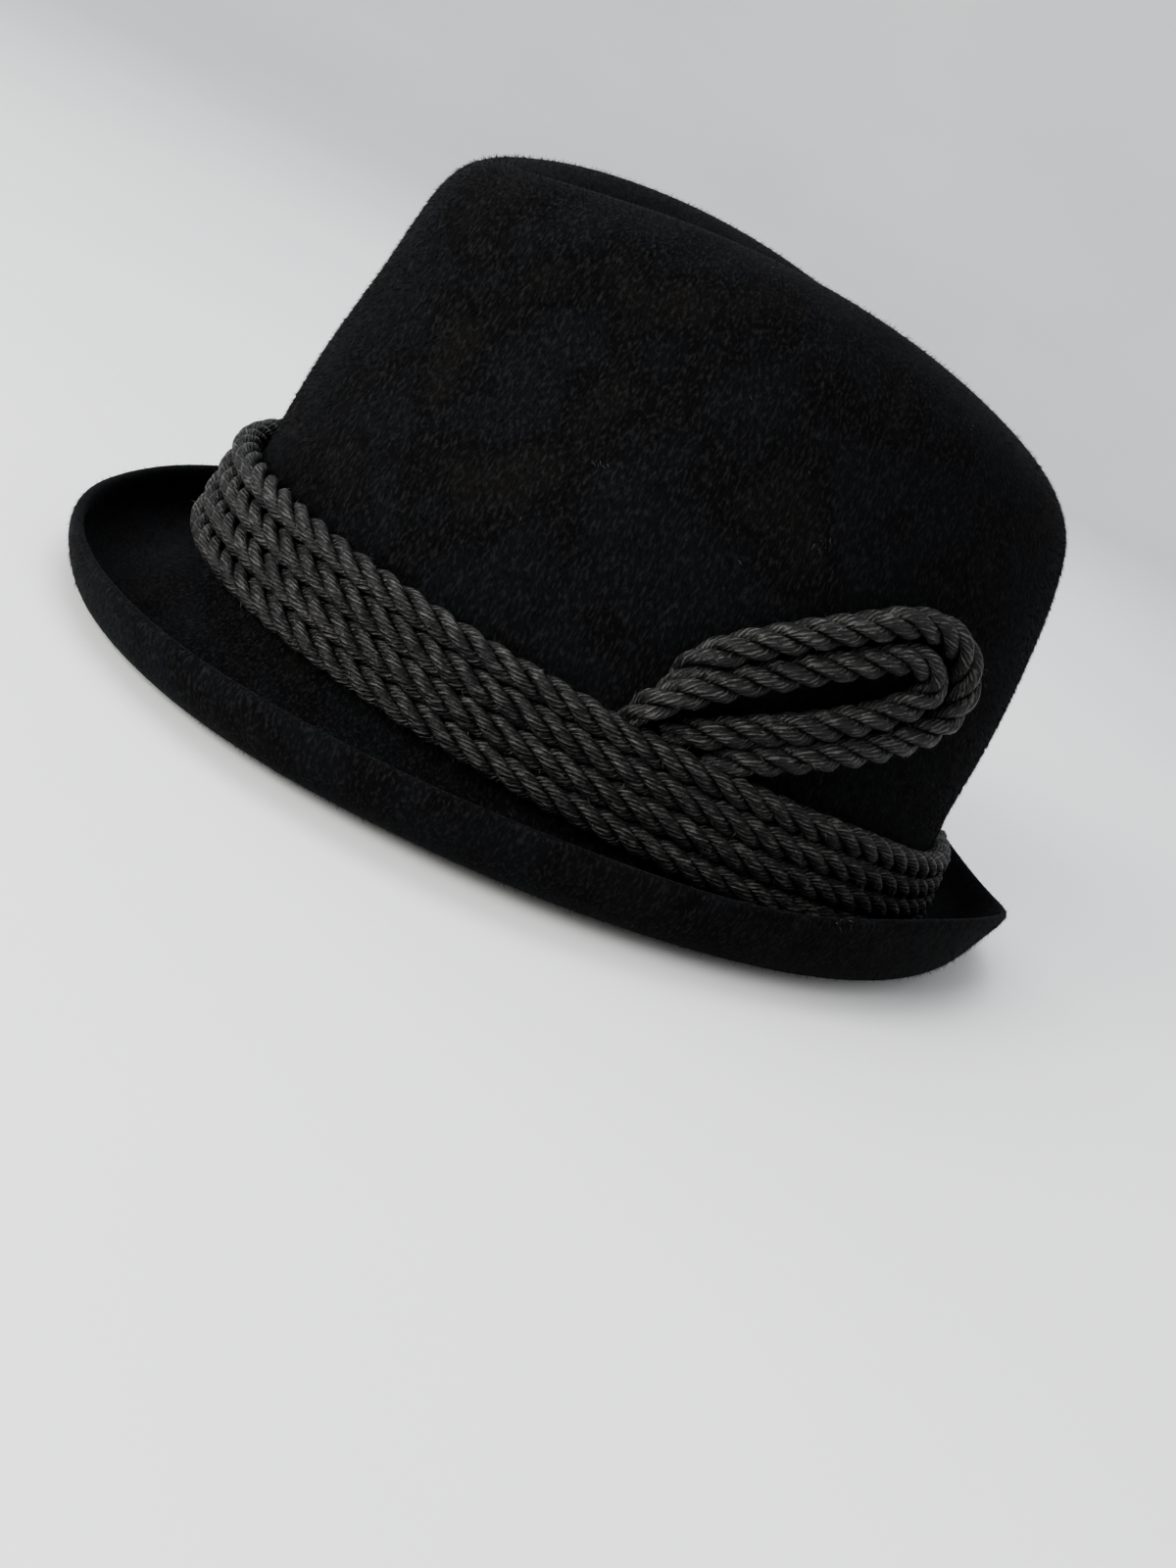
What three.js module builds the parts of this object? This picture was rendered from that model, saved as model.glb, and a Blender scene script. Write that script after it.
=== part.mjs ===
import * as THREE from 'three';

// Fedora of velour felt, with four rows of twisted rope round the crown and a double rope loop.
// Millimetres, +Z up. The front is at -Y, the wearer's left at +X, and the brim rests on z = 0.

const felt = { wall: 2.4, columns: 60, color: 0x17181a, roughness: 0.95 };
const gap = 0.3;
const rope = { radius: 3.3, rows: 4, sides: 8, color: 0x2b2c2e, roughness: 0.75 };
const loopRope = { radius: 3.6, rings: 40, sides: 8, color: 0x2b2c2e, roughness: 0.75 };
const pinch = { angle: 42, height: 110, depth: 4, spreadAngle: 20, spreadHeight: 24 };

// Sections of the felt's outer surface, from the middle of the crown's dent out to the rim.
// front, back and half are the reach along -Y, +Y and X, and frontZ, sideZ and backZ the heights
// there. quarterZ lifts the back quarters, egg widens the front, and strips is the number of
// strips of surface up to the next section. The two soles dip below the wall's thickness at the
// front and back, and are flattened there to rest on z = 0.
const columns = ['name', 'front', 'back', 'half', 'frontZ', 'sideZ', 'backZ', 'quarterZ', 'egg', 'strips'];
const sections = [
  ['dentFloor', -35, 46, 9, 128, 126, 122, 0, -0.10, 1],
  ['dentWall', -58, 70, 22, 133, 133, 121, 0, -0.12, 2],
  ['ridgeInner', -70, 84, 33, 136, 141.5, 122, 0, -0.12, 1],
  ['ridge', -76.5, 92.5, 43, 136.5, 145, 120.5, 0, -0.10, 2],
  ['shoulder', -84.5, 102, 58, 131.5, 140, 112.5, 0, -0.08, 2],
  ['shoulderLow', -89.5, 106.5, 68, 122, 129, 99, 0, -0.06, 2],
  ['wallHigh', -93.5, 108.5, 76, 100, 104, 81, 0, -0.05, 2],
  ['wallLow', -98.5, 108.8, 83, 75, 73, 56, 0, -0.05, 2],
  ['bandTop', -101.5, 108.2, 86.1, 47.5, 41.5, 30.8, 0, -0.05, 1],
  ['bandLow', -105, 110.6, 89.5, 21, 15, 4.8, 0, -0.05, 1],
  ['foot', -107.5, 112.4, 91.8, 15.5, 9.8, 2.9, 0, -0.04, 3],
  ['soleInner', -123.5, 117, 100.5, 0.9, 5.2, 0.9, 0, 0, 1],
  ['soleOuter', -129.5, 123, 106.5, 0.9, 5.2, 0.9, 0, 0.02, 2],
  ['curl', -135, 131, 113, 6.8, 10.5, 6.4, 2, 0.06, 2],
  ['rim', -135.7, 136, 114.4, 14, 21.3, 12.9, 8.5, 0.08, 1],
].map((row) => Object.fromEntries(row.map((value, index) => [columns[index], value])));

// Routes of the loop's two ropes on the crown's wall, from the band, round the loop and back.
// angle is in degrees from the front, and rise is the height above the band's top edge.
const loopRoutes = {
  loop_outer: [
    { angle: 81.4, rise: 0.4 },
    { angle: 81.6, rise: 8 },
    { angle: 85.2, rise: 21 },
    { angle: 93.5, rise: 34 },
    { angle: 102.2, rise: 45 },
    { angle: 110.7, rise: 52 },
    { angle: 117.7, rise: 50 },
    { angle: 121, rise: 42.5 },
    { angle: 120.5, rise: 33 },
    { angle: 115.2, rise: 22.5 },
    { angle: 106.5, rise: 11.2 },
    { angle: 98.1, rise: 3.6 },
  ],
  loop_inner: [
    { angle: 85.8, rise: 0.4 },
    { angle: 86.4, rise: 7 },
    { angle: 91.7, rise: 19 },
    { angle: 98.2, rise: 28.5 },
    { angle: 105.2, rise: 38 },
    { angle: 110.7, rise: 43.5 },
    { angle: 115.5, rise: 42 },
    { angle: 116.2, rise: 36.5 },
    { angle: 113.2, rise: 29.5 },
    { angle: 105.7, rise: 20 },
    { angle: 97.7, rise: 12.2 },
    { angle: 90.6, rise: 4.2 },
  ],
};

// Number of the profile's point where a section lies.
function sectionRow(name) {
  const index = sections.findIndex((section) => section.name === name);
  return sections.slice(0, index).reduce((sum, section) => sum + section.strips, 0);
}

// Height on a section: a parabola through its front, side and back.
function sectionHeight(section, angle) {
  const along = (1 - Math.cos(angle)) / 2;
  const front = section.frontZ * (1 - along) * (1 - 2 * along);
  const side = section.sideZ * 4 * along * (1 - along);
  const back = section.backZ * along * (2 * along - 1);
  const quarter = Math.cos(angle) < 0 ? section.quarterZ * Math.sin(2 * angle) ** 2 : 0;
  return front + side + back + quarter;
}

function sectionPoint(section, angle) {
  const middle = (section.front + section.back) / 2;
  const reach = (section.back - section.front) / 2;
  const width = section.half * (1 + section.egg * Math.cos(angle));
  return new THREE.Vector3(
    width * Math.sin(angle),
    middle - reach * Math.cos(angle),
    sectionHeight(section, angle),
  );
}

// Two shallow finger dents at the front of the crown, as a push toward the middle line.
function pinchDepth(point) {
  const angle = THREE.MathUtils.radToDeg(Math.atan2(Math.abs(point.x), -point.y));
  const across = (angle - pinch.angle) / pinch.spreadAngle;
  const up = (point.z - pinch.height) / pinch.spreadHeight;
  return pinch.depth * Math.exp(-across * across - up * up);
}

// Outer surface of the felt at one angle from the front, from the dent to the rim.
function profile(angle) {
  const curve = new THREE.CatmullRomCurve3(sections.map((section) => sectionPoint(section, angle)));
  const spans = sections.length - 1;
  const points = [];
  sections.forEach((section, index) => {
    const strips = index === spans ? 1 : section.strips;
    for (let strip = 0; strip < strips; strip += 1) {
      const point = curve.getPoint((index + strip / strips) / spans);
      const inward = new THREE.Vector3(-point.x, -point.y, 0).normalize();
      point.addScaledVector(inward, pinchDepth(point));
      point.z = Math.max(point.z, felt.wall);
      points.push(point);
    }
  });
  return points;
}

// Point on the crown's wall at an angle from the front and a rise above the band's top edge.
function wallPoint(angle, rise) {
  const points = profile(angle);
  const step = rise < 0 ? 1 : -1;
  let row = sectionRow('bandTop');
  let left = Math.abs(rise);
  let strip = points[row].distanceTo(points[row + step]);
  while (left > strip) {
    left -= strip;
    row += step;
    strip = points[row].distanceTo(points[row + step]);
  }
  return points[row].clone().lerp(points[row + step], left / strip);
}

// Centre of a rope that lies against the wall there, and the way out of the wall.
function onWall(angle, rise, radius) {
  const across = wallPoint(angle + 0.02, rise).sub(wallPoint(angle - 0.02, rise));
  const up = wallPoint(angle, rise + 1).sub(wallPoint(angle, rise - 1));
  const outward = across.cross(up).normalize();
  const centre = wallPoint(angle, rise).addScaledVector(outward, radius + gap);
  return { centre, outward };
}

// Closed solid from a list of points and triangles.
function solid(points, triangles) {
  const geometry = new THREE.BufferGeometry().setFromPoints(points);
  geometry.setIndex(triangles);
  geometry.computeVertexNormals();
  return geometry;
}

// Crown and brim: the outer surface, the inner one a wall's thickness inside it, and the rim.
function feltGeometry() {
  const profiles = [];
  for (let column = 0; column < felt.columns; column += 1) {
    profiles.push(profile((2 * Math.PI * column) / felt.columns));
  }
  const rows = profiles[0].length;
  const middle = profiles.reduce((sum, points) => sum.add(points[0]), new THREE.Vector3());
  const outer = [middle.divideScalar(felt.columns)];
  for (let row = 0; row < rows; row += 1) {
    profiles.forEach((points) => outer.push(points[row]));
  }
  const at = (row, column) => 1 + row * felt.columns + (column % felt.columns);
  const triangles = [];
  for (let column = 0; column < felt.columns; column += 1) {
    triangles.push(0, at(0, column), at(0, column + 1));
    for (let row = 0; row < rows - 1; row += 1) {
      triangles.push(at(row, column), at(row + 1, column), at(row + 1, column + 1));
      triangles.push(at(row, column), at(row + 1, column + 1), at(row, column + 1));
    }
  }
  const normals = solid(outer, triangles).getAttribute('normal');
  const soleFirst = at(sectionRow('soleInner'), 0);
  const soleLast = at(sectionRow('soleOuter') + 1, 0);
  const inner = outer.map((point, index) => {
    const normal = new THREE.Vector3().fromBufferAttribute(normals, index);
    const inside = point.clone().addScaledVector(normal, -felt.wall);
    const isSole = index >= soleFirst && index < soleLast;
    inside.z = isSole ? point.z - felt.wall : Math.max(inside.z, 0);
    return inside;
  });
  const count = outer.length;
  const inside = [];
  for (let corner = 0; corner < triangles.length; corner += 3) {
    const [a, b, c] = triangles.slice(corner, corner + 3);
    inside.push(a + count, c + count, b + count);
  }
  for (let column = 0; column < felt.columns; column += 1) {
    const first = at(rows - 1, column);
    const next = at(rows - 1, column + 1);
    inside.push(first, first + count, next + count, first, next + count, next);
  }
  return solid(outer.concat(inner), triangles.concat(inside));
}

// Round rope through a list of places on the wall, either a closed ring or with two cut ends.
function ropeGeometry(places, { radius, sides }, closed) {
  const count = places.length;
  const points = [];
  places.forEach(({ centre, outward }, index) => {
    const before = places[closed ? (index + count - 1) % count : Math.max(index - 1, 0)];
    const after = places[closed ? (index + 1) % count : Math.min(index + 1, count - 1)];
    const tangent = after.centre.clone().sub(before.centre);
    const side = outward.clone().cross(tangent).normalize();
    for (let corner = 0; corner < sides; corner += 1) {
      const turn = (2 * Math.PI * corner) / sides;
      points.push(centre.clone()
        .addScaledVector(outward, radius * Math.cos(turn))
        .addScaledVector(side, radius * Math.sin(turn)));
    }
  });
  const at = (ring, corner) => (ring % count) * sides + (corner % sides);
  const triangles = [];
  for (let corner = 0; corner < sides; corner += 1) {
    for (let ring = 0; ring < (closed ? count : count - 1); ring += 1) {
      triangles.push(at(ring, corner), at(ring + 1, corner), at(ring + 1, corner + 1));
      triangles.push(at(ring, corner), at(ring + 1, corner + 1), at(ring, corner + 1));
    }
  }
  if (!closed) {
    const first = points.push(places[0].centre) - 1;
    const last = points.push(places[count - 1].centre) - 1;
    for (let corner = 0; corner < sides; corner += 1) {
      triangles.push(first, at(0, corner), at(0, corner + 1));
      triangles.push(last, at(count - 1, corner + 1), at(count - 1, corner));
    }
  }
  return solid(points, triangles);
}

const group = new THREE.Group();
group.name = 'fedora';

function addPart(name, geometry, { color, roughness }) {
  const material = new THREE.MeshStandardMaterial({ color, roughness, metalness: 0 });
  const mesh = new THREE.Mesh(geometry, material);
  mesh.name = name;
  group.add(mesh);
}

addPart('felt_body', feltGeometry(), felt);

for (let row = 1; row <= rope.rows; row += 1) {
  const rise = -rope.radius - (rope.rows - row) * (2 * rope.radius + gap);
  const places = [];
  for (let column = 0; column < felt.columns; column += 1) {
    places.push(onWall((2 * Math.PI * column) / felt.columns, rise, rope.radius));
  }
  addPart(`rope_row_${row}`, ropeGeometry(places, rope, true), rope);
}

Object.entries(loopRoutes).forEach(([name, route]) => {
  const line = new THREE.SplineCurve(route.map(({ angle, rise }) => new THREE.Vector2(angle, rise)));
  const places = line.getPoints(loopRope.rings).map(
    ({ x, y }) => onWall(THREE.MathUtils.degToRad(x), y, loopRope.radius),
  );
  addPart(name, ropeGeometry(places, loopRope, false), loopRope);
});

export default group;
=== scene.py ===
import math

import bmesh
import bpy
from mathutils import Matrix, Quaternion, Vector, kdtree, noise


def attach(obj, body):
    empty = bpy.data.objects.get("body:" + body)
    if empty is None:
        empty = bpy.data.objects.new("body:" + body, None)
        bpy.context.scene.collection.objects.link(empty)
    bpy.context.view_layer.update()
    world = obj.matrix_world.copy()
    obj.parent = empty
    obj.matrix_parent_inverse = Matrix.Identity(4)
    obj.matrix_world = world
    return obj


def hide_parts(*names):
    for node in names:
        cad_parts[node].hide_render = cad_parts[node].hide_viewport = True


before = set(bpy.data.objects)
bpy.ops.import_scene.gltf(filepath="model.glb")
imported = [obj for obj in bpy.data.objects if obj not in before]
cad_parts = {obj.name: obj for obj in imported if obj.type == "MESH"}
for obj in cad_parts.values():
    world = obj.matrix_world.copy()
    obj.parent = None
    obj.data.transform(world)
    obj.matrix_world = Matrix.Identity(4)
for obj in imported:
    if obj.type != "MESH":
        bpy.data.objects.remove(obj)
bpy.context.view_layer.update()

scene = bpy.context.scene
noise.seed_set(5)  # the same unevenness each run

# camera: the hat leans in the picture, so the camera is rolled instead
camera = {
    "place": (0.46996, -0.17158, 0.16018),
    "lookAt": (0.0, 0.01624, -0.00488),
    "rollDegrees": 27.68,
    "lensMm": 43.875,
    "sensorMm": 36.0,
    "clipNear": 0.01,
}


def addCamera():
    data = bpy.data.cameras.new("camera")
    data.lens = camera["lensMm"]
    data.sensor_width = camera["sensorMm"]
    data.clip_start = camera["clipNear"]
    viewer = bpy.data.objects.new("camera", data)
    scene.collection.objects.link(viewer)
    place = Vector(camera["place"])
    aim = (Vector(camera["lookAt"]) - place).to_track_quat("-Z", "Y")
    roll = Quaternion((0, 0, 1), math.radians(camera["rollDegrees"]))
    viewer.rotation_mode = "QUATERNION"
    viewer.location = place
    viewer.rotation_quaternion = aim @ roll
    scene.camera = viewer


addCamera()
print("camera in place")


def newObject(name, mesh):
    piece = bpy.data.objects.new(name, mesh)
    scene.collection.objects.link(piece)
    return piece


mergeGap = 1e-5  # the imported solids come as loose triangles


def meshFrom(bm, name):
    mesh = bpy.data.meshes.new(name)
    bm.to_mesh(mesh)
    bm.free()
    for face in mesh.polygons:
        face.use_smooth = True
    return mesh


# node helpers for the materials
def addNode(tree, kind, inputs=None, **settings):
    node = tree.nodes.new(kind)
    for key, value in settings.items():
        setattr(node, key, value)
    for key, value in (inputs or {}).items():
        node.inputs[key].default_value = value
    return node


def fillRamp(node, stops):
    band = node.color_ramp
    while len(band.elements) < len(stops):
        band.elements.new(0.5)
    for element, (place, colour) in zip(band.elements, stops):
        element.position = place
        element.color = (*colour, 1)
    return node


def newMaterial(name):
    material = bpy.data.materials.new(name)
    material.use_nodes = True
    tree = material.node_tree
    return material, tree, tree.nodes["Principled BSDF"]


# floor: a pale disc whose edge sweeps up all round, so no horizon shows
floor = {
    "radius": 1.6,
    "sides": 96,
    "steps": [(1.85, 0.03), (2.1, 0.12), (2.3, 0.3), (2.42, 0.6), (2.45, 1.3)],
    "pale": (0.74, 0.74, 0.73),
    "shade": (0.69, 0.69, 0.69),
    "cloudScale": 3.0,
    "roughness": 0.7,
}


def addFloor():
    bm = bmesh.new()
    bmesh.ops.create_circle(bm, cap_ends=True, segments=floor["sides"], radius=floor["radius"])
    ring = list(bm.edges)
    for radius, height in floor["steps"]:
        grown = bmesh.ops.extrude_edge_only(bm, edges=ring)["geom"]
        corners = [item for item in grown if isinstance(item, bmesh.types.BMVert)]
        ring = [item for item in grown if isinstance(item, bmesh.types.BMEdge)]
        for corner in corners:
            flat = Vector((corner.co.x, corner.co.y)).normalized() * radius
            corner.co = (flat.x, flat.y, height)
        ring = [edge for edge in ring if all(v in corners for v in edge.verts)]
    sweep = newObject("floor", meshFrom(bm, "floor"))
    material, tree, surface = newMaterial("paleFloor")
    surface.inputs["Roughness"].default_value = floor["roughness"]
    where = addNode(tree, "ShaderNodeTexCoord")
    cloud = addNode(tree, "ShaderNodeTexNoise", {"Scale": floor["cloudScale"], "Detail": 3.0})
    ramp = addNode(tree, "ShaderNodeValToRGB")
    fillRamp(ramp, [(0.3, floor["shade"]), (0.7, floor["pale"])])
    tree.links.new(where.outputs["Object"], cloud.inputs["Vector"])
    tree.links.new(cloud.outputs["Fac"], ramp.inputs["Fac"])
    tree.links.new(ramp.outputs["Color"], surface.inputs["Base Color"])
    sweep.data.materials.append(material)


# studio light: soft boxes from the front and above, a weak fill and a pale room
lights = {
    "target": (0.0, 0.0, 0.06),
    "boxes": [
        ("keyLight", (0.62, -1.1, 0.72), 0.9, 28.0, (1.0, 0.99, 0.97)),
        ("frontLight", (0.3, -1.3, 0.28), 0.8, 9.0, (1.0, 0.99, 0.97)),
        ("topLight", (-0.35, -0.1, 1.3), 1.0, 13.0, (0.96, 0.98, 1.0)),
        ("fillLight", (0.9, 0.75, 0.45), 0.8, 2.5, (1.0, 0.95, 0.88)),
    ],
    "room": (0.9, 0.93, 1.0),
    "roomStrength": 0.75,
    "tone": "AgX - Medium High Contrast",
}


def addLights():
    for name, place, size, power, tint in lights["boxes"]:
        data = bpy.data.lights.new(name, "AREA")
        data.shape = "SQUARE"
        data.size = size
        data.energy = power
        data.color = tint
        lamp = bpy.data.objects.new(name, data)
        scene.collection.objects.link(lamp)
        lamp.location = place
        aim = Vector(lights["target"]) - Vector(place)
        lamp.rotation_mode = "QUATERNION"
        lamp.rotation_quaternion = aim.to_track_quat("-Z", "Y")
    world = bpy.data.worlds.new("paleRoom")
    world.use_nodes = True
    back = world.node_tree.nodes["Background"]
    back.inputs["Color"].default_value = (*lights["room"], 1)
    back.inputs["Strength"].default_value = lights["roomStrength"]
    scene.world = world
    scene.view_settings.look = lights["tone"]


addFloor()
addLights()
print("floor and light in place")


# rope: three strands laid right-handed along a path on the crown, in metres
rope = {
    "strands": 3,
    "samplesPerTurn": 16,
    "wander": 0.00022,
    "wanderSize": 0.03,
    "axis": (0.0, 0.004, 0.0),
    "ringSides": 8,
    "seamDegrees": 3,
    "fineSteps": 8,
    "bevelSteps": 2,
    "fibreAngle": 44,
}
bandRope = {
    "rows": 4,
    "turns": 27,
    "offset": 0.00206,
    "strandRadius": 0.00168,
    "settleFrom": 0.045,
    "settleOver": 0.06,
    "settleDrop": 0.0042,
    "settlePress": 0.0014,
}
loopRope = {
    "pitch": 0.0225,
    "offset": 0.00226,
    "strandRadius": 0.00184,
    "squeeze": 0.5,
    "squeezeShare": 0.06,
    "endThin": 0.4,
    "samples": 60,
}
loopRoutes = {
    "loop_outer": [
        (0.0853, -0.0119, 0.0514), (0.0862, -0.0107, 0.0570), (0.0870, -0.0082, 0.0623),
        (0.0870, -0.0034, 0.0671), (0.0870, 0.0049, 0.0727), (0.0859, 0.0149, 0.0783),
        (0.0839, 0.0255, 0.0836), (0.0807, 0.0372, 0.0884), (0.0777, 0.0476, 0.0886),
        (0.0753, 0.0564, 0.0844), (0.0741, 0.0612, 0.0772), (0.0762, 0.0597, 0.0696),
        (0.0798, 0.0529, 0.0636), (0.0842, 0.0412, 0.0576), (0.0873, 0.0298, 0.0526),
        (0.0891, 0.0190, 0.0481), (0.0894, 0.0105, 0.0446), (0.0886, 0.0030, 0.0408),
    ],
    "loop_inner": [
        (0.0858, -0.0178, 0.0411), (0.0876, -0.0167, 0.0458), (0.0895, -0.0142, 0.0501),
        (0.0904, -0.0103, 0.0541), (0.0897, -0.0047, 0.0578), (0.0885, 0.0018, 0.0615),
        (0.0877, 0.0087, 0.0654), (0.0867, 0.0187, 0.0711), (0.0844, 0.0296, 0.0763),
        (0.0818, 0.0391, 0.0802), (0.0801, 0.0459, 0.0802), (0.0789, 0.0500, 0.0772),
        (0.0801, 0.0491, 0.0726), (0.0830, 0.0421, 0.0675), (0.0858, 0.0322, 0.0620),
        (0.0881, 0.0200, 0.0562), (0.0890, 0.0092, 0.0517), (0.0889, 0.0010, 0.0480),
        (0.0876, -0.0039, 0.0458), (0.0866, -0.0086, 0.0432),
    ],
}


def smoothPath(points, closed, count):
    made = []
    size = len(points)
    spans = size if closed else size - 1
    for step in range(count):
        place = step * spans / (count if closed else count - 1)
        start = min(int(place), spans - 1)
        part = place - start
        around = [start - 1, start, start + 1, start + 2]
        if closed:
            around = [index % size for index in around]
        else:
            around = [min(max(index, 0), size - 1) for index in around]
        a, b, c, d = [points[index] for index in around]
        curve = b * 2 + (c - a) * part
        curve += (a * 2 - b * 5 + c * 4 - d) * part ** 2
        curve += (b * 3 - a - c * 3 + d) * part ** 3
        made.append(curve / 2)
    return made


def evenPath(points, closed, count):
    fine = smoothPath(points, closed, count * rope["fineSteps"])
    if closed:
        fine.append(fine[0])
    run = [0.0]
    for a, b in zip(fine, fine[1:]):
        run.append(run[-1] + (b - a).length)
    made = []
    index = 0
    for step in range(count):
        want = run[-1] * step / (count if closed else count - 1)
        while index < len(run) - 2 and run[index + 1] < want:
            index += 1
        part = (want - run[index]) / max(run[index + 1] - run[index], 1e-9)
        made.append(fine[index].lerp(fine[index + 1], part))
    return made, run[-1]


def bandPath(node):
    bm = bmesh.new()
    bm.from_mesh(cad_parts[node].data)
    bmesh.ops.remove_doubles(bm, verts=bm.verts, dist=mergeGap)
    seam = math.radians(rope["seamDegrees"])
    spots = []
    for vert in bm.verts:
        turn = math.atan2(vert.co.x, -vert.co.y + rope["axis"][1])
        spots.append(((turn + seam) % (2 * math.pi), vert.co.copy()))
    bm.free()
    spots.sort(key=lambda spot: spot[0])
    sides = rope["ringSides"]
    rings = [spots[i:i + sides] for i in range(0, len(spots), sides)]
    return [sum((co for _, co in ring), Vector()) / sides for ring in rings]


# at the back the rows sag into each other and into the felt, the upper ones most
def settleBand(rows):
    rows.sort(key=lambda points: sum(point.z for point in points))
    for level, points in enumerate(rows):
        for point in points:
            share = (point.y - bandRope["settleFrom"]) / bandRope["settleOver"]
            share = min(max(share, 0.0), 1.0)
            share = share * share * (3 - 2 * share)
            inward = Vector((-point.x, -point.y, 0)).normalized()
            point.z -= bandRope["settleDrop"] * share * level / (bandRope["rows"] - 1)
            point += inward * bandRope["settlePress"] * share


def outwardAt(point, along):
    out = point - Vector(rope["axis"])
    out.z = 0
    out -= along * out.dot(along)
    return out.normalized()


def endSlack(share):
    near = min(share, 1 - share) / loopRope["squeezeShare"]
    return loopRope["squeeze"] + (1 - loopRope["squeeze"]) * min(near, 1.0)


def layRope(name, points, closed, turns, offset, radius, material):
    count = int(turns * rope["samplesPerTurn"])
    path, length = evenPath(points, closed, count)
    data = bpy.data.curves.new(name, "CURVE")
    data.dimensions = "3D"
    data.bevel_depth = radius
    data.bevel_resolution = rope["bevelSteps"]
    data.use_fill_caps = True
    for strand in range(rope["strands"]):
        spline = data.splines.new("POLY")
        spline.points.add(count - 1)
        spline.use_cyclic_u = closed
        spline.use_smooth = True
        for step, centre in enumerate(path):
            before = path[step - 1] if closed or step else path[0]
            after = path[(step + 1) % count] if closed or step < count - 1 else path[-1]
            along = (after - before).normalized()
            out = outwardAt(centre, along)
            side = along.cross(out)
            share = step / count if closed else step / (count - 1)
            angle = 2 * math.pi * (turns * share + strand / rope["strands"])
            slack = 1.0 if closed else endSlack(share)
            drift = noise.noise_vector(centre / rope["wanderSize"]) * rope["wander"]
            spoke = out * math.cos(angle) + side * math.sin(angle)
            spline.points[step].co = (*(centre + spoke * offset * slack + drift), 1)
            spline.points[step].radius = loopRope["endThin"] + (1 - loopRope["endThin"]) * slack
    twist = bpy.data.objects.new(name + "_curve", data)
    scene.collection.objects.link(twist)
    bpy.context.view_layer.update()
    laid = twist.evaluated_get(bpy.context.evaluated_depsgraph_get())
    mesh = bpy.data.meshes.new_from_object(laid)
    bpy.data.objects.remove(twist)
    bpy.data.curves.remove(data)
    mesh.name = name
    for corner in mesh.uv_layers[0].data:  # from shares to metres along and round the strand
        corner.uv = (corner.uv[0] * length, corner.uv[1] * 2 * math.pi * radius)
    for face in mesh.polygons:
        face.use_smooth = True
    piece = newObject(name, mesh)
    piece.data.materials.clear()
    piece.data.materials.append(material)
    return piece


# twisted cord: charcoal yarn with dull sheen, fine fibres running with the rope; its colour is random fibre
# tone with painted shade in the fibre grooves and painted glints on the fibre crests
yarn = {
    # dark: dark fibres and painted shade in the grooves; light: pale fibres and painted glints on the crests
    "darkFibreAndGrooveShade": (0.0008, 0.0008, 0.0008),
    "mid": (0.0036, 0.0035, 0.0032),
    "light": (0.058, 0.056, 0.052),
    "roughness": 0.5,
    "specular": 0.28,
    "sheen": 0.015,
    "sheenRoughness": 0.4,
    "sheenTint": (0.8, 0.82, 0.85, 1),
    "fibreScale": (300, 1200, 1),
    "yarnScale": 330,
    "yarnShare": 0.16,
    "cloudScale": 160.0,
    "cloudShare": 0.3,
    "stops": (0.39, 0.52, 0.68),
    "relief": 0.0011,
}


def ropeMaterial():
    material, tree, surface = newMaterial("ropeYarn")
    link = tree.links.new
    surface.inputs["Roughness"].default_value = yarn["roughness"]
    surface.inputs["Specular IOR Level"].default_value = yarn["specular"]
    surface.inputs["Sheen Weight"].default_value = yarn["sheen"]
    surface.inputs["Sheen Roughness"].default_value = yarn["sheenRoughness"]
    surface.inputs["Sheen Tint"].default_value = yarn["sheenTint"]
    where = addNode(tree, "ShaderNodeTexCoord")
    turned = addNode(tree, "ShaderNodeMapping")
    turned.inputs["Rotation"].default_value = (0, 0, math.radians(rope["fibreAngle"]))
    stretched = addNode(tree, "ShaderNodeMapping")
    stretched.inputs["Scale"].default_value = yarn["fibreScale"]
    fibre = addNode(tree, "ShaderNodeTexNoise", {"Scale": 1.0, "Detail": 3.0, "Roughness": 0.65})
    ply = addNode(
        tree, "ShaderNodeTexWave", {"Scale": yarn["yarnScale"], "Distortion": 2.5, "Detail": 2.0},
        bands_direction="Y",
    )
    cloud = addNode(tree, "ShaderNodeTexNoise", {"Scale": yarn["cloudScale"], "Detail": 2.0})
    plyShade = addNode(
        tree, "ShaderNodeMath", {1: yarn["yarnShare"], 2: -yarn["yarnShare"] / 2}, operation="MULTIPLY_ADD",
    )
    total = addNode(tree, "ShaderNodeMath", operation="ADD")
    patch = addNode(
        tree, "ShaderNodeMath", {1: yarn["cloudShare"], 2: -yarn["cloudShare"] / 2}, operation="MULTIPLY_ADD",
    )
    shade = addNode(tree, "ShaderNodeMath", operation="ADD")
    # the ramp follows the bump's height: painted shade low down, painted glints high up
    ramp = addNode(tree, "ShaderNodeValToRGB")
    fillRamp(ramp, list(zip(yarn["stops"], (yarn["darkFibreAndGrooveShade"], yarn["mid"], yarn["light"]))))
    relief = addNode(tree, "ShaderNodeBump", {"Strength": 1.0, "Distance": yarn["relief"]})
    link(where.outputs["UV"], turned.inputs["Vector"])
    link(turned.outputs["Vector"], stretched.inputs["Vector"])
    link(stretched.outputs["Vector"], fibre.inputs["Vector"])
    link(turned.outputs["Vector"], ply.inputs["Vector"])
    link(where.outputs["Object"], cloud.inputs["Vector"])
    link(ply.outputs["Fac"], plyShade.inputs[0])
    link(fibre.outputs["Fac"], total.inputs[0])
    link(plyShade.outputs[0], total.inputs[1])
    link(cloud.outputs["Fac"], patch.inputs[0])
    link(total.outputs[0], shade.inputs[0])
    link(patch.outputs[0], shade.inputs[1])
    link(shade.outputs[0], ramp.inputs["Fac"])
    link(ramp.outputs["Color"], surface.inputs["Base Color"])
    link(total.outputs[0], relief.inputs["Height"])
    link(relief.outputs["Normal"], surface.inputs["Normal"])
    return material


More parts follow.
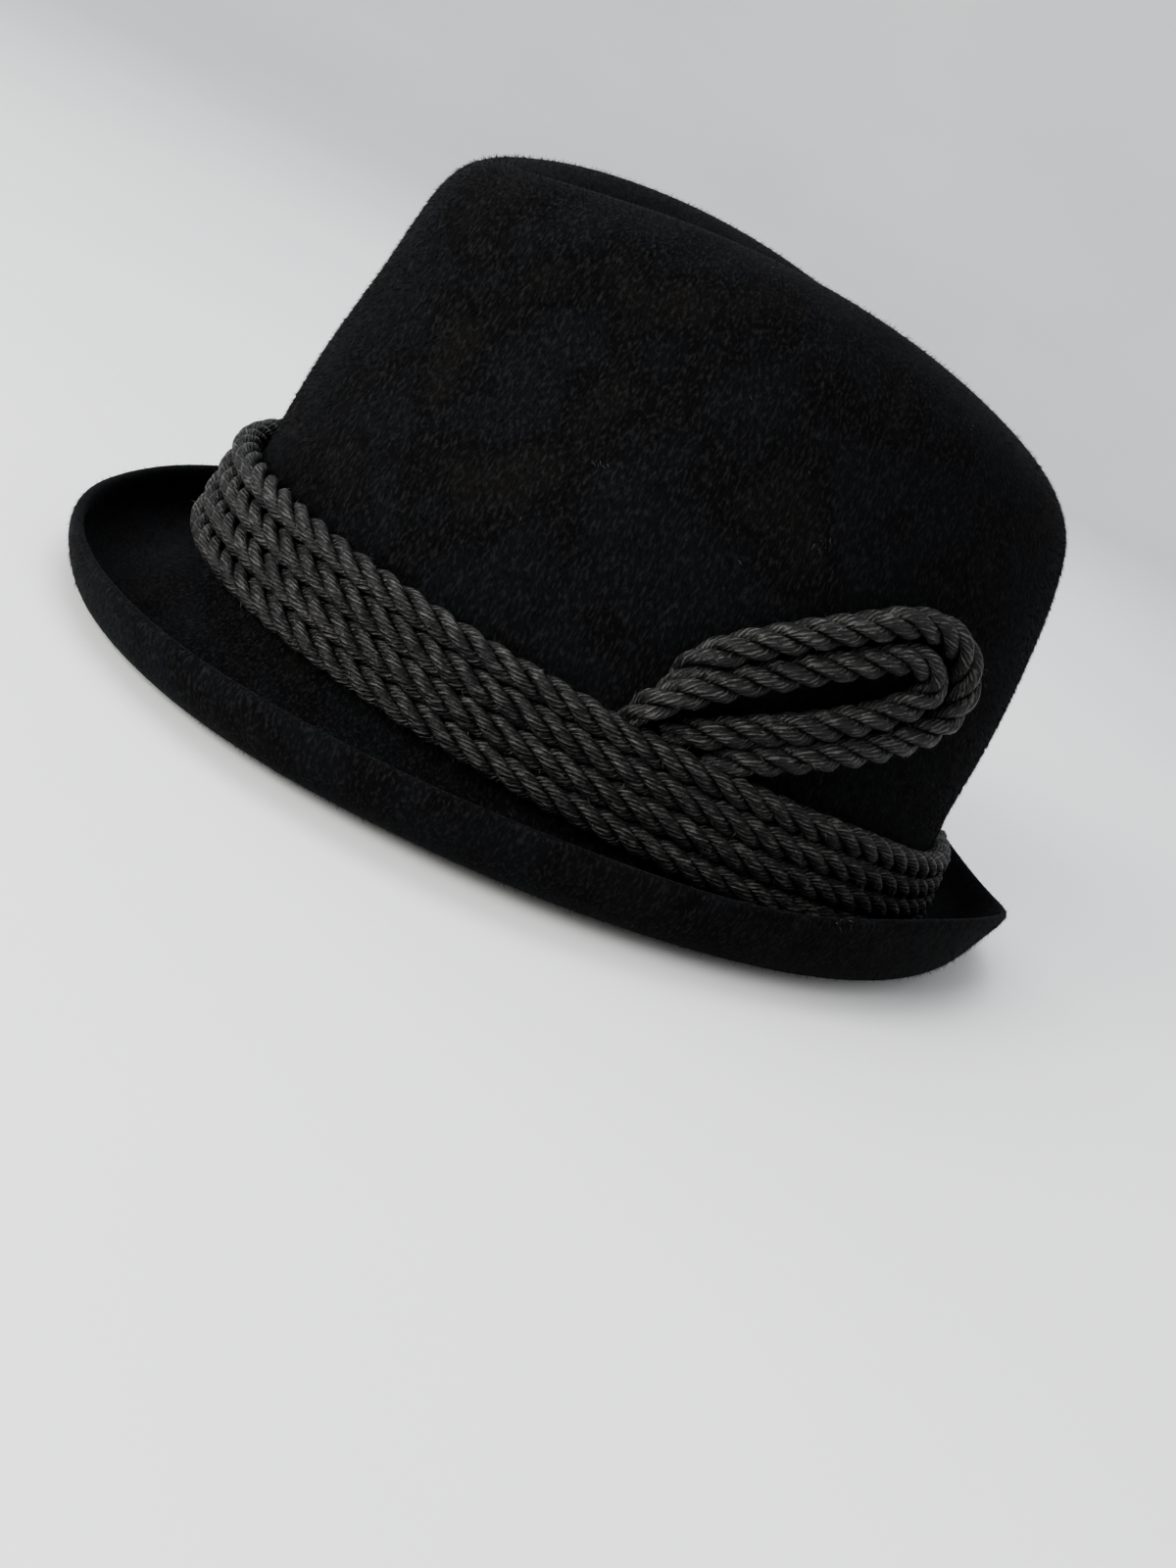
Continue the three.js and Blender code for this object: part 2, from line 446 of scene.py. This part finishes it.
def addRopes():
    material = ropeMaterial()
    paths = []
    pieces = []
    rows = {f"rope_row_{row}": bandPath(f"rope_row_{row}") for row in range(1, bandRope["rows"] + 1)}
    settleBand(list(rows.values()))
    for node, points in rows.items():
        paths += points
        piece = layRope(
            node.replace("rope_row", "band"), points, True, bandRope["turns"],
            bandRope["offset"], bandRope["strandRadius"], material,
        )
        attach(piece, "root")
        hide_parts(node)
        pieces.append(piece)
    for node, route in loopRoutes.items():
        points = [Vector(point) for point in route]
        length = evenPath(points, False, loopRope["samples"])[1]
        paths += smoothPath(points, False, loopRope["samples"])
        piece = layRope(
            node.replace("loop", "side_loop"), points, False, length / loopRope["pitch"],
            loopRope["offset"], loopRope["strandRadius"], material,
        )
        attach(piece, "root")
        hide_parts(node)
        pieces.append(piece)
    return paths, pieces


ropePaths, ropePieces = addRopes()
print("ropes laid")

# felt: one pressed body, slightly uneven by hand, under a brushed nap
felt = {
    "inset": 0.0008,
    "easeMiddle": (0.0, 0.098, 0.098),
    "easeReach": 0.05,
    "ease": 0.0014,
    "wobble": 0.0006,
    "wobbleSize": 0.04,
    "levels": 2,
    "crownHalf": (0.0945, 0.1125),
    "crownMiddle": (0.0, 0.0025),
    "ropeClear": 0.0042,
    "joinDegrees": 60,
    "restHeight": 0.004,
    "soleHeight": 0.003,
    "soleLean": -0.5,
    "liningLean": 0.05,
    "ceilingLean": -0.3,
    "topLean": 0.75,
    "rimLowest": 0.0115,
    "rimSlope": 0.84,
    "rollReach": 0.0075,
    "roll": 0.0016,
    "black": (0.0024, 0.0024, 0.0026),
    "blue": (0.0038, 0.0040, 0.0047),
    "green": (0.0034, 0.0046, 0.0045),
    "brown": (0.0046, 0.0042, 0.0039),
    # speckle: pale flecks of fibre and painted glints on the raised grain
    "fleckAndGlint": (0.012, 0.012, 0.0125),
    "stops": (0.34, 0.45, 0.55, 0.68),
    "glint": (0.48, 0.74),
    "cloudScale": 46.0,
    "strokeScale": (1400, 1400, 520),
    "relief": 0.0005,
    "reliefStrength": 0.4,
    "roughness": 0.9,
    "specular": 0.04,
    "sheen": 0.025,
    "sheenRoughness": 0.35,
    "sheenTint": (0.75, 0.8, 0.85, 1),
}


def feltMaterial():
    material, tree, surface = newMaterial("velourFelt")
    link = tree.links.new
    surface.inputs["Roughness"].default_value = felt["roughness"]
    surface.inputs["Specular IOR Level"].default_value = felt["specular"]
    surface.inputs["Sheen Weight"].default_value = felt["sheen"]
    surface.inputs["Sheen Roughness"].default_value = felt["sheenRoughness"]
    surface.inputs["Sheen Tint"].default_value = felt["sheenTint"]
    where = addNode(tree, "ShaderNodeTexCoord")
    cloud = addNode(
        tree, "ShaderNodeTexNoise", {"Scale": felt["cloudScale"], "Detail": 3.0, "Roughness": 0.5},
    )
    blotch = addNode(tree, "ShaderNodeValToRGB")
    shades = (felt["brown"], felt["black"], felt["blue"], felt["green"])
    fillRamp(blotch, list(zip(felt["stops"], shades)))
    strokes = addNode(tree, "ShaderNodeMapping")
    strokes.inputs["Scale"].default_value = felt["strokeScale"]
    grain = addNode(tree, "ShaderNodeTexNoise", {"Scale": 1.0, "Detail": 2.0})
    # pale flecks where the grain, also the bump's height, is high: paler fibres and painted glints
    glint = addNode(tree, "ShaderNodeValToRGB")
    fillRamp(glint, list(zip(felt["glint"], ((0, 0, 0), (1, 1, 1)))))
    both = addNode(tree, "ShaderNodeMix", data_type="RGBA")
    both.inputs[7].default_value = (*felt["fleckAndGlint"], 1)
    relief = addNode(
        tree, "ShaderNodeBump", {"Strength": felt["reliefStrength"], "Distance": felt["relief"]},
    )
    link(where.outputs["Object"], cloud.inputs["Vector"])
    link(where.outputs["Object"], strokes.inputs["Vector"])
    link(strokes.outputs["Vector"], grain.inputs["Vector"])
    link(cloud.outputs["Fac"], blotch.inputs["Fac"])
    link(grain.outputs["Fac"], glint.inputs["Fac"])
    link(glint.outputs["Color"], both.inputs[0])
    link(blotch.outputs["Color"], both.inputs[6])
    link(both.outputs[2], surface.inputs["Base Color"])
    link(grain.outputs["Fac"], relief.inputs["Height"])
    link(relief.outputs["Normal"], surface.inputs["Normal"])
    return material


# place in the crown's oval, whose edge is at a length of 1
def crownPlace(co):
    x = (co.x - felt["crownMiddle"][0]) / felt["crownHalf"][0]
    y = (co.y - felt["crownMiddle"][1]) / felt["crownHalf"][1]
    return Vector((x, y))


# the brim's edge: its points with nothing steeply above them
def rimPoints(bm):
    found = []
    for vert in bm.verts:
        if crownPlace(vert.co).length < 1 or vert.co.z < felt["rimLowest"]:
            continue
        steps = [edge.other_vert(vert).co - vert.co for edge in vert.link_edges]
        if all(step.z < felt["rimSlope"] * step.to_2d().length for step in steps):
            found.append(vert.co.copy())
    return found


def nearestTo(points):
    near = kdtree.KDTree(len(points))
    for index, point in enumerate(points):
        near.insert(point, index)
    near.balance()
    return near


# how much nap each point has, none inside the hat, on its sole and under the ropes
def napShares(bm, paths):
    near = nearestTo(paths)
    crownLayer = bm.verts.layers.float.new("napCrown")
    topLayer = bm.verts.layers.float.new("napTop")
    brimLayer = bm.verts.layers.float.new("napBrim")
    bm.normal_update()
    for vert in bm.verts:
        place = crownPlace(vert.co)
        lean = vert.normal.z
        inCrown = place.length < 1
        facesIn = vert.normal.to_2d().dot(place) < 0
        inside = inCrown and lean < felt["liningLean"] and (facesIn or lean < felt["ceilingLean"])
        onSole = vert.co.z < felt["soleHeight"] and lean < felt["soleLean"]
        hidden = inside or onSole or near.find(vert.co)[2] < felt["ropeClear"]
        onTop = inCrown and lean > felt["topLean"]
        vert[crownLayer] = float(inCrown and not hidden and not onTop)
        vert[topLayer] = float(onTop and not hidden)
        vert[brimLayer] = float(not inCrown and not hidden)


def addFelt(paths):
    bm = bmesh.new()
    bm.from_mesh(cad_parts["felt_body"].data)
    bmesh.ops.remove_doubles(bm, verts=bm.verts, dist=mergeGap)
    join = math.radians(felt["joinDegrees"])
    bmesh.ops.join_triangles(
        bm, faces=bm.faces, angle_face_threshold=join, angle_shape_threshold=join,
    )
    napShares(bm, paths)
    # room for the nap, a rolled brim's edge, an easier back shoulder and a little unevenness
    rim = nearestTo(rimPoints(bm))
    shares = [bm.verts.layers.float[name] for name in ("napCrown", "napTop", "napBrim")]
    moves = []
    for vert in bm.verts:
        bare = 1 - sum(vert[share] for share in shares)
        away = (vert.co - Vector(felt["easeMiddle"])).length / felt["easeReach"]
        ease = felt["ease"] * max(0.0, 1 - away * away)
        push = noise.noise_vector(vert.co / felt["wobbleSize"]) * felt["wobble"]
        roll = max(0.0, 1 - (rim.find(vert.co)[2] / felt["rollReach"]) ** 2)
        swell = felt["roll"] * roll - (felt["inset"] + ease) * (1 - bare)
        moves.append(push + vert.normal * swell if vert.co.z > felt["restHeight"] else Vector())
    for vert, move in zip(bm.verts, moves):
        vert.co += move
    shell = newObject("felt_shell", meshFrom(bm, "felt_shell"))
    soft = shell.modifiers.new("softened", "SUBSURF")
    soft.levels = felt["levels"]
    soft.render_levels = felt["levels"]
    shell.data.materials.append(feltMaterial())
    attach(shell, "root")
    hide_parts("felt_body")
    return shell


feltShell = addFelt(ropePaths)
print("felt shaped")

# nap: short fibres brushed down the crown and outwards on the brim
nap = {
    "pieces": [
        ("nap_crown_a", "napCrown", 0.65e6, 11),
        ("nap_crown_b", "napCrown", 0.65e6, 23),
        ("nap_top", "napTop", 0.9e6, 37),
        ("nap_brim", "napBrim", 0.55e6, 51),
    ],
    "width": 0.00006,
    "shortest": 0.0007,
    "longest": 0.0017,
    "comb": (0.0, 0.35, -1.0),
    "rise": 0.42,
    "lay": 0.8,
    "stray": 0.42,
    "random": 0.6,
    "clumpScale": 75.0,
    "clump": 1.7,
    "clumpMiddle": 0.15,
    # the palest few fibres stand for paler fibres and painted glints
    "shades": [
        (0.0, (0.0016, 0.0016, 0.0018)), (0.5, (0.0045, 0.0045, 0.0049)),
        (0.8, (0.0085, 0.0085, 0.009)), (0.96, (0.017, 0.017, 0.0175)), (1.0, (0.12, 0.12, 0.117)),
    ],
}
# what the nap and the fuzz share
fibre = {
    "sides": 3,
    "swirlScale": 60.0,
    "roughness": 0.6,
    "specular": 0.06,
    "rootShade": 0.55,
}
# fuzz: loose ends of yarn standing off the ropes
fuzz = {
    "density": 0.28e6,
    "seed": 71,
    "width": 0.00005,
    "shortest": 0.0007,
    "longest": 0.0021,
    "comb": (0.0, 1.0, -0.3),
    "rise": 0.35,
    "lay": 0.65,
    "stray": 0.6,
    "random": 1.0,
    "clumpScale": 300.0,
    "clump": 0.5,
    "clumpMiddle": 0.0,
    # the palest few fibres stand for paler fibres and painted glints on the yarn
    "shades": [
        (0.0, (0.004, 0.004, 0.004)), (0.5, (0.012, 0.012, 0.011)),
        (0.8, (0.04, 0.039, 0.036)), (0.95, (0.11, 0.107, 0.1)), (1.0, (0.26, 0.25, 0.235)),
    ],
}


def fibreMaterial(name, look):
    material, tree, surface = newMaterial(name)
    link = tree.links.new
    surface.inputs["Roughness"].default_value = fibre["roughness"]
    surface.inputs["Specular IOR Level"].default_value = fibre["specular"]
    where = addNode(tree, "ShaderNodeTexCoord")
    parts = addNode(tree, "ShaderNodeSeparateXYZ")
    ramp = addNode(tree, "ShaderNodeValToRGB")
    fillRamp(ramp, look["shades"])
    # fibres darkened towards the root: painted shade among the fibres
    paintedRootShade = addNode(tree, "ShaderNodeMapRange", {"To Min": fibre["rootShade"], "To Max": 1.0})
    dim = addNode(tree, "ShaderNodeVectorMath", operation="SCALE")
    link(where.outputs["UV"], parts.inputs[0])
    link(parts.outputs["X"], ramp.inputs["Fac"])
    link(parts.outputs["Y"], paintedRootShade.inputs["Value"])
    link(ramp.outputs["Color"], dim.inputs[0])
    link(paintedRootShade.outputs["Result"], dim.inputs["Scale"])
    link(dim.outputs["Vector"], surface.inputs["Base Color"])
    return material


def fibreTree(name, share, density, seed, look, material):
    tree = bpy.data.node_groups.new(name, "GeometryNodeTree")
    tree.interface.new_socket("Geometry", in_out="INPUT", socket_type="NodeSocketGeometry")
    tree.interface.new_socket("Geometry", in_out="OUTPUT", socket_type="NodeSocketGeometry")
    link = tree.links.new
    start = addNode(tree, "NodeGroupInput")
    end = addNode(tree, "NodeGroupOutput")
    # where the fibres stand
    amount = addNode(tree, "GeometryNodeInputNamedAttribute", {"Name": share})
    many = addNode(tree, "ShaderNodeMath", {1: density}, operation="MULTIPLY")
    spread = addNode(tree, "GeometryNodeDistributePointsOnFaces", {"Seed": seed})
    link(amount.outputs["Attribute"], many.inputs[0])
    link(start.outputs["Geometry"], spread.inputs["Mesh"])
    link(many.outputs[0], spread.inputs["Density"])
    # which way they lie: up off the felt, along the brushing, a little astray
    up = addNode(tree, "ShaderNodeVectorMath", {"Scale": look["rise"]}, operation="SCALE")
    brush = addNode(tree, "ShaderNodeVectorMath", {0: look["comb"]}, operation="DOT_PRODUCT")
    lifted = addNode(tree, "ShaderNodeVectorMath", operation="SCALE")
    flat = addNode(tree, "ShaderNodeVectorMath", {0: look["comb"]}, operation="SUBTRACT")
    laid = addNode(tree, "ShaderNodeVectorMath", {"Scale": look["lay"]}, operation="SCALE")
    stray = addNode(tree, "FunctionNodeRandomValue", data_type="FLOAT_VECTOR")
    stray.inputs[0].default_value = (-look["stray"],) * 3
    stray.inputs[1].default_value = (look["stray"],) * 3
    stray.inputs["Seed"].default_value = seed + 1
    swirl = addNode(tree, "ShaderNodeTexNoise", {"Scale": fibre["swirlScale"], "Detail": 1.0})
    middle = addNode(tree, "ShaderNodeVectorMath", {1: (0.5, 0.5, 0.5)}, operation="SUBTRACT")
    sumA = addNode(tree, "ShaderNodeVectorMath", operation="ADD")
    sumB = addNode(tree, "ShaderNodeVectorMath", operation="ADD")
    sumC = addNode(tree, "ShaderNodeVectorMath", operation="ADD")
    place = addNode(tree, "GeometryNodeInputPosition")
    link(spread.outputs["Normal"], up.inputs[0])
    link(spread.outputs["Normal"], brush.inputs[1])
    link(spread.outputs["Normal"], lifted.inputs[0])
    link(brush.outputs["Value"], lifted.inputs["Scale"])
    link(lifted.outputs[0], flat.inputs[1])
    link(flat.outputs[0], laid.inputs[0])
    link(place.outputs[0], swirl.inputs["Vector"])
    link(swirl.outputs["Color"], middle.inputs[0])
    link(up.outputs[0], sumA.inputs[0])
    link(laid.outputs[0], sumA.inputs[1])
    link(sumA.outputs[0], sumB.inputs[0])
    link(stray.outputs[0], sumB.inputs[1])
    link(sumB.outputs[0], sumC.inputs[0])
    link(middle.outputs[0], sumC.inputs[1])
    turned = addNode(tree, "FunctionNodeAlignRotationToVector", axis="Z")
    link(sumC.outputs[0], turned.inputs["Vector"])
    # one fibre: a closed three-sided spike, one metre long before it is scaled
    spike = addNode(tree, "GeometryNodeMeshCone", fill_type="NGON")
    spike.inputs["Vertices"].default_value = fibre["sides"]
    spike.inputs["Radius Top"].default_value = 0.0
    spike.inputs["Radius Bottom"].default_value = 1.0
    spike.inputs["Depth"].default_value = 1.0
    height = addNode(tree, "GeometryNodeInputPosition")
    rising = addNode(tree, "ShaderNodeSeparateXYZ")
    tipped = addNode(tree, "GeometryNodeStoreNamedAttribute", {"Name": "along"}, data_type="FLOAT")
    link(height.outputs[0], rising.inputs[0])
    link(spike.outputs["Mesh"], tipped.inputs["Geometry"])
    link(rising.outputs["Z"], tipped.inputs["Value"])
    long = addNode(tree, "FunctionNodeRandomValue", data_type="FLOAT")
    long.inputs[2].default_value = look["shortest"]
    long.inputs[3].default_value = look["longest"]
    long.inputs["Seed"].default_value = seed + 2
    size = addNode(tree, "ShaderNodeCombineXYZ", {"X": look["width"], "Y": look["width"]})
    link(long.outputs[1], size.inputs["Z"])
    planted = addNode(tree, "GeometryNodeInstanceOnPoints")
    link(spread.outputs["Points"], planted.inputs["Points"])
    link(tipped.outputs["Geometry"], planted.inputs["Instance"])
    link(turned.outputs["Rotation"], planted.inputs["Rotation"])
    link(size.outputs[0], planted.inputs["Scale"])
    # a shade for each fibre, kept with its height as the UV map
    pick = addNode(tree, "FunctionNodeRandomValue", data_type="FLOAT")
    pick.inputs["Seed"].default_value = seed + 3
    pick.inputs[3].default_value = look["random"]
    clump = addNode(
        tree, "ShaderNodeTexNoise", {"Scale": look["clumpScale"], "Detail": 3.0, "Roughness": 0.7},
    )
    base = look["clumpMiddle"] - look["clump"] / 2
    centred = addNode(tree, "ShaderNodeMath", {1: look["clump"], 2: base}, operation="MULTIPLY_ADD")
    toned = addNode(tree, "ShaderNodeMath", operation="ADD", use_clamp=True)
    shade = addNode(
        tree, "GeometryNodeStoreNamedAttribute", {"Name": "shade"}, data_type="FLOAT", domain="INSTANCE",
    )
    real = addNode(tree, "GeometryNodeRealizeInstances")
    shadeOf = addNode(tree, "GeometryNodeInputNamedAttribute", {"Name": "shade"})
    alongOf = addNode(tree, "GeometryNodeInputNamedAttribute", {"Name": "along"})
    pair = addNode(tree, "ShaderNodeCombineXYZ")
    mapped = addNode(
        tree, "GeometryNodeStoreNamedAttribute", {"Name": "UVMap"}, data_type="FLOAT2", domain="CORNER",
    )
    dressed = addNode(tree, "GeometryNodeSetMaterial", {"Material": material})
    link(planted.outputs["Instances"], shade.inputs["Geometry"])
    link(place.outputs[0], clump.inputs["Vector"])
    link(clump.outputs["Fac"], centred.inputs[0])
    link(pick.outputs[1], toned.inputs[0])
    link(centred.outputs[0], toned.inputs[1])
    link(toned.outputs[0], shade.inputs["Value"])
    link(shade.outputs["Geometry"], real.inputs["Geometry"])
    link(shadeOf.outputs["Attribute"], pair.inputs["X"])
    link(alongOf.outputs["Attribute"], pair.inputs["Y"])
    link(real.outputs["Geometry"], mapped.inputs["Geometry"])
    link(pair.outputs[0], mapped.inputs["Value"])
    link(mapped.outputs["Geometry"], dressed.inputs["Geometry"])
    link(dressed.outputs["Geometry"], end.inputs["Geometry"])
    return tree


def growFibres(name, ground, share, density, seed, look, material):
    scatter = ground.modifiers.new("scatter", "NODES")
    scatter.node_group = fibreTree(name, share, density, seed, look, material)
    bpy.context.view_layer.update()
    grown = ground.evaluated_get(bpy.context.evaluated_depsgraph_get())
    mesh = bpy.data.meshes.new_from_object(grown)
    mesh.name = name
    bpy.data.objects.remove(ground)
    piece = newObject(name, mesh)
    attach(piece, "root")
    print(name, len(mesh.polygons), "faces")


def addNap(shell):
    material = fibreMaterial("velourNap", nap)
    for name, share, density, seed in nap["pieces"]:
        ground = newObject(name + "_ground", shell.data.copy())
        soft = ground.modifiers.new("softened", "SUBSURF")
        soft.levels = felt["levels"]
        soft.render_levels = felt["levels"]
        growFibres(name, ground, share, density, seed, nap, material)


def addFuzz(pieces):
    bm = bmesh.new()
    for piece in pieces:
        bm.from_mesh(piece.data)
    everywhere = bm.verts.layers.float.new("fuzzShare")
    for vert in bm.verts:
        vert[everywhere] = 1.0
    ground = newObject("fuzz_ground", meshFrom(bm, "fuzz_ground"))
    material = fibreMaterial("yarnFuzz", fuzz)
    growFibres("rope_fuzz", ground, "fuzzShare", fuzz["density"], fuzz["seed"], fuzz, material)


addNap(feltShell)
print("nap grown")
addFuzz(ropePieces)
print("fuzz grown")
